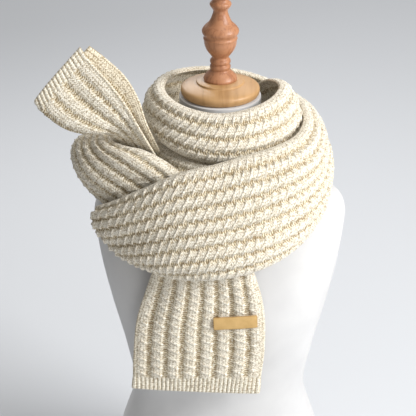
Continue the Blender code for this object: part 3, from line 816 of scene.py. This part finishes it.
# piece, the node it stands for, its rows, its ribs; at its two ends the ribs' share of the
# width, how much the cords stand out and how much they draw the ribs in; its cut, hold
STRETCHES = (
    ("scarf_left_fold", "left_fold", LEFT_FOLD_ROWS, 7,
     (0.82, 0.80), (0.65, 0.70), (0.08, 0.08), (0.11, 0.235), "folded"),
    ("scarf_back_inner", "back_inner", BACK_INNER_ROWS, 7,
     (0.80, 0.82), (0.70, 0.85), (0.08, 0.12), (0.072, 0.365), "folded"),
    ("scarf_neck_wrap", "neck_wrap", NECK_WRAP_ROWS, 5,
     (0.82, 0.88), (0.85, 0.60), (0.12, 0.30), (0.074, 0.35), "folded"),
    ("scarf_back_outer", "back_outer", BACK_OUTER_ROWS, 8,
     (0.88, 0.91), (0.60, 0.48), (0.30, 0.40), (0.114, 0.33), "folded"),
    ("scarf_outer_wrap", "outer_wrap", OUTER_WRAP_ROWS, 9,
     (0.91, 0.86), (0.48, 0.88), (0.40, 0.16), (0.146, 0.49), "draped"),
)
CREASES = {
    "left_fold": (
        (0.075, 0.35, 6, 0.060, 0.014, -0.0030),
        (0.130, 0.66, -4, 0.050, 0.015, 0.0026),
        (0.180, 0.40, 0, 0.040, 0.012, -0.0028),
    ),
    "back_inner": (
        (0.090, 0.52, 5, 0.070, 0.014, -0.0030),
        (0.190, 0.30, -5, 0.060, 0.012, 0.0018),
        (0.280, 0.70, 4, 0.050, 0.012, -0.0030),
    ),
    "neck_wrap": (
        (0.070, 0.55, 3, 0.050, 0.013, -0.0030),
        (0.150, 0.36, 4, 0.060, 0.010, -0.0024),
        (0.200, 0.74, -3, 0.050, 0.011, 0.0022),
        (0.290, 0.58, 6, 0.040, 0.013, -0.0032),
    ),
    "back_outer": (
        (0.080, 0.40, -5, 0.060, 0.014, 0.0024),
        (0.160, 0.62, 6, 0.070, 0.016, -0.0036),
        (0.250, 0.34, -8, 0.060, 0.016, 0.0030),
    ),
    "outer_wrap": (
        (0.090, 0.50, 5, 0.080, 0.018, -0.0036),
        (0.180, 0.28, -6, 0.070, 0.015, 0.0028),
        (0.250, 0.62, 8, 0.085, 0.019, -0.0042),
        (0.320, 0.36, 12, 0.060, 0.013, -0.0032),
        (0.370, 0.78, -8, 0.060, 0.017, 0.0034),
        (0.430, 0.50, 9, 0.045, 0.014, -0.0040),
    ),
}
begin = 0.0
for name, node, rows, ribs, shares, twists, waists, flat, held in STRETCHES:
    first = max(begin - 0.5, 0.0)
    last = min(begin + len(rows) - 0.5, len(TURNS) - 1.0)
    piece = knit_shell(name, TURNS, wound_section, first, last, ribs, shares, twists, waists,
                       free=(first == 0.0, last == len(TURNS) - 1.0), creases=CREASES[node])
    begin += len(rows)
    knitted(piece, knitting, wool)
    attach(piece, "root")
    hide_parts(node)


# ------------------------------------------------------------ under the neck wrap
# The lower part of the neck wrap's band, two ribs wide, seen in the gap between the
# neck wrap and the outer wrap.
UNDER_STRETCH_ROWS = (
    (350, 0.085, 0.622, 350, 0.104, 0.594, 0.006, 0, 2),
    (375, 0.088, 0.625, 375, 0.107, 0.596, 0.006, 0, 2),
    (400, 0.090, 0.629, 400, 0.115, 0.599, 0.007, 0, 2),
    (425, 0.093, 0.636, 425, 0.120, 0.607, 0.007, 0, 2),
    (450, 0.093, 0.636, 450, 0.118, 0.612, 0.006, 0, 2),
)
under = knit_shell("scarf_under_stretch", UNDER_STRETCH_ROWS, wound_section, 0,
                   len(UNDER_STRETCH_ROWS) - 1, 2, (0.78, 0.78), (0.6, 0.6), (0.1, 0.1))
knitted(under, knitting, wool)
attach(under, "root")
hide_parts("under_stretch")


# ------------------------------------------------------------ the standing side end
# The scarf's other end, folded in two along its length and pulled up through the turns
# at the left shoulder, with its 1x1 ribbed hem.
SIDE_COLUMNS = ("front_x", "front_y", "front_z", "fold_x", "fold_y", "fold_z",
                "back_x", "back_y", "back_z", "ribs")
SIDE_TAIL_ROWS = (
    (-0.190, -0.040, 0.775, -0.251, -0.058, 0.705, -0.178, -0.030, 0.772, 9),
    (-0.176, -0.045, 0.755, -0.236, -0.063, 0.686, -0.156, -0.030, 0.754, 9),
    (-0.152, -0.055, 0.731, -0.210, -0.064, 0.667, -0.131, -0.034, 0.730, 9),
    (-0.1285, -0.065, 0.702, -0.183, -0.062, 0.659, -0.113, -0.046, 0.702, 9),
    (-0.108, -0.073, 0.669, -0.1565, -0.049, 0.6545, -0.101, -0.0625, 0.669, 9),
    (-0.087, -0.074, 0.631, -0.1285, -0.0385, 0.6225, -0.0845, -0.0705, 0.631, 9),
)
SIDE_TAIL_CREASES = (
    (0.050, 0.22, 5, 0.045, 0.012, -0.0022),
    (0.090, 0.36, -5, 0.040, 0.012, 0.0020),
    (0.080, 0.70, 6, 0.045, 0.014, -0.0022),
)


def side_section(row):
    """Front edge, fold and back edge of a section of the folded end."""
    cut = dict(zip(SIDE_COLUMNS, row))
    return [np.array([cut[line + "_" + axis] for axis in "xyz"])
            for line in ("front", "fold", "back")]


side = knit_shell("scarf_side_tail", SIDE_TAIL_ROWS, side_section, 0,
                  len(SIDE_TAIL_ROWS) - 1, 9, (0.80, 0.76), (0.6, 0.6), (0.08, 0.08), outside=-1,
                  hems=(0.019, 0.0), creases=SIDE_TAIL_CREASES, plump=0.62)
knitted(side, knitting, wool)
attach(side, "root")
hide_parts("side_tail")


# ------------------------------------------------------------ the leather label
# A small strip of tan leather sewn to the front end near its right edge, left bare and
# bent to the ribs that it lies on.
LABEL_WIDTH = 0.062
LABEL_HEIGHT = 0.020
LABEL_THICKNESS = 0.0016
LABEL_CENTRE_X = 0.0215
LABEL_CENTRE_Z = 0.4010
LABEL_TILT = math.radians(2.6)
LABEL_CORNER = 0.0022
LABEL_EDGE = 0.00035          # softening of the rims
LABEL_COLUMNS = 48
CORNER_STEPS = 6              # points round one corner, less one
SEAM_GAP = 0.0003


def label_depth(x, z):
    """Y of the label's back, just in front of the ribs of the hanging end."""
    rows = smooth_rows(FRONT_TAIL_ROWS, np.linspace(0, len(FRONT_TAIL_ROWS) - 1, 60))
    sections = [tail_section(row) for row in rows]
    heights = [0.5 * (right[2] + left[2]) for right, _, left in sections]
    line = section_points(*sections[int(np.argmin(np.abs(np.array(heights) - z)))],
                          np.linspace(0, 1, 61))
    order = np.argsort(line[:, 0])
    return float(np.interp(x, line[order, 0], line[order, 1])) - WALL_AND_RIB - SEAM_GAP


def build_label():
    """The label as a thin plate with rounded corners and softened edges."""
    shape = bmesh.new()
    outline = []
    half_width = 0.5 * LABEL_WIDTH - LABEL_CORNER
    half_height = 0.5 * LABEL_HEIGHT - LABEL_CORNER
    for quarter, (sx, sz) in enumerate(((1, 1), (-1, 1), (-1, -1), (1, -1))):
        for step in range(CORNER_STEPS + 1):
            angle = math.radians(90 * quarter + 90 / CORNER_STEPS * step)
            outline.append((sx * half_width + LABEL_CORNER * math.cos(angle),
                            sz * half_height + LABEL_CORNER * math.sin(angle)))
    for x, z in outline:
        shape.verts.new((x, 0.0, z))
    face = shape.faces.new(shape.verts)
    moved = bmesh.ops.extrude_face_region(shape, geom=[face])["geom"]
    for item in moved:
        if isinstance(item, bmesh.types.BMVert):
            item.co.y -= LABEL_THICKNESS
    bmesh.ops.recalc_face_normals(shape, faces=shape.faces[:])
    rims = [edge for edge in shape.edges
            if abs(edge.verts[0].co.y - edge.verts[1].co.y) < 1e-6]
    bmesh.ops.bevel(shape, geom=rims, offset=LABEL_EDGE, segments=3, affect="EDGES",
                    profile=0.5)
    for step in range(1, LABEL_COLUMNS):
        x = -0.5 * LABEL_WIDTH + LABEL_WIDTH * step / LABEL_COLUMNS
        bmesh.ops.bisect_plane(shape, geom=shape.verts[:] + shape.edges[:] + shape.faces[:],
                               plane_co=(x, 0, 0), plane_no=(1, 0, 0), dist=1e-6)
    for vert in shape.verts:
        flat_x, flat_z = vert.co.x, vert.co.z
        x = LABEL_CENTRE_X + flat_x * math.cos(LABEL_TILT) - flat_z * math.sin(LABEL_TILT)
        z = LABEL_CENTRE_Z + flat_x * math.sin(LABEL_TILT) + flat_z * math.cos(LABEL_TILT)
        vert.co = (x, vert.co.y + label_depth(x, LABEL_CENTRE_Z), z)
    mesh = bpy.data.meshes.new("bare_leather_label")
    shape.to_mesh(mesh)
    shape.free()
    mesh.shade_smooth()
    mesh.set_sharp_from_angle(angle=math.radians(40))
    item = bpy.data.objects.new("bare_leather_label", mesh)
    bpy.context.scene.collection.objects.link(item)
    return item


def leather_material():
    """Smooth tan leather with a fine grain, a little darker in blotches."""
    material, tree, shader = new_material("tan_leather", roughness=0.5, ior=1.45)
    place = add_node(tree, "ShaderNodeTexCoord", {}, output=3)
    cells = add_node(tree, "ShaderNodeTexVoronoi", {"feature": "F1"}, place, None, 1300.0)
    cloud = speckle(tree, place, 90.0, 4.0, 0.6)
    tone = add_node(tree, "ShaderNodeValToRGB",
                    {"stops": ((0.25, (0.57, 0.355, 0.125)), (0.75, (0.70, 0.465, 0.19)))},
                    cloud)
    own = add_node(tree, "ShaderNodeMapping", {"vector_type": "TEXTURE"}, place,
                   (LABEL_CENTRE_X, 0.0, LABEL_CENTRE_Z), (0.0, -LABEL_TILT, 0.0))
    parts = tree.nodes.new("ShaderNodeSeparateXYZ")
    tree.links.new(own.socket, parts.inputs[0])
    from_end = 0.5 * LABEL_WIDTH - abs(Wire(tree, parts.outputs[0]))
    from_side = 0.5 * LABEL_HEIGHT - abs(Wire(tree, parts.outputs[2]))
    rim = 1.0 - from_end.sum("MINIMUM", from_side).ramp(0.0002, 0.0016)
    tone = mixed(tree, rim * 0.55, tone, (0.36, 0.19, 0.06))
    drive(tree, shader, base_color=tone, roughness=cloud * 0.2 + 0.4,
          normal=raised(tree, cells, 0.00025, 0.35))
    return material


label = build_label()
label.data.materials.append(leather_material())
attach(label, "root")
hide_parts("leather_label")


# ------------------------------------------------------------ the studio
# A plain pale floor, which fills the background too, a large soft window light from
# the right, and weaker lights in front, above and behind.
floor_mesh = bpy.data.meshes.new("floor")
floor_mesh.from_pydata([(-12, -12, 0), (12, -12, 0), (12, 12, 0), (-12, 12, 0)], [],
                       [(0, 1, 2, 3)])
floor = bpy.data.objects.new("floor", floor_mesh)
bpy.context.scene.collection.objects.link(floor)
floor_paint, floor_tree, floor_shader = new_material("pale_floor", roughness=0.8)
floor_shader.inputs["Base Color"].default_value = (0.68, 0.70, 0.73, 1.0)
floor_mesh.materials.append(floor_paint)

# light: place, aim, width, height, power, colour
LIGHTS = (
    ("window", (2.0, -1.05, 1.85), (0.0, 0.0, 0.55), 1.0, 1.0, 75.0, (0.99, 0.985, 0.98)),
    ("fill", (0.8, -2.0, 0.40), (0.0, 0.0, 0.45), 1.2, 1.0, 10.0, (1.0, 0.98, 0.95)),
    ("top", (0.30, -0.35, 2.1), (0.0, 0.0, 0.6), 0.5, 0.5, 4.0, (1.0, 0.97, 0.93)),
    ("behind", (-0.35, 1.4, 1.5), (0.0, 0.0, 0.6), 0.8, 0.8, 9.0, (1.0, 1.0, 1.0)),
    ("backdrop", (0.6, 2.4, 2.4), (0.5, 2.2, 0.0), 2.6, 1.6, 24.0, (0.97, 0.98, 1.0)),
)
for name, place, aim, width, height, power, colour in LIGHTS:
    data = bpy.data.lights.new(name, "AREA")
    data.shape = "RECTANGLE"
    data.size = width
    data.size_y = height
    data.energy = power
    data.color = colour
    lamp = bpy.data.objects.new(name, data)
    direction = np.array(aim) - np.array(place)
    lamp.location = place
    lamp.rotation_euler = Vector(direction).to_track_quat("-Z", "Y").to_euler()
    bpy.context.scene.collection.objects.link(lamp)

bpy.context.scene.view_settings.view_transform = "Standard"
world = bpy.data.worlds.new("soft_room")
world.use_nodes = True
world.node_tree.nodes["Background"].inputs[0].default_value = (0.97, 0.95, 0.92, 1.0)
world.node_tree.nodes["Background"].inputs[1].default_value = 0.30
bpy.context.scene.world = world

CAMERA_PLACE = (-0.0171, -1.83, 1.42)
CAMERA_PITCH = math.radians(63.6)
CAMERA_FIELD = math.radians(16.91)
camera_data = bpy.data.cameras.new("camera")
camera_data.sensor_width = 36.0
camera_data.lens = 18.0 / math.tan(CAMERA_FIELD / 2)
camera = bpy.data.objects.new("camera", camera_data)
camera.location = CAMERA_PLACE
camera.rotation_euler = (CAMERA_PITCH, 0.0, 0.0)
bpy.context.scene.collection.objects.link(camera)
bpy.context.scene.camera = camera
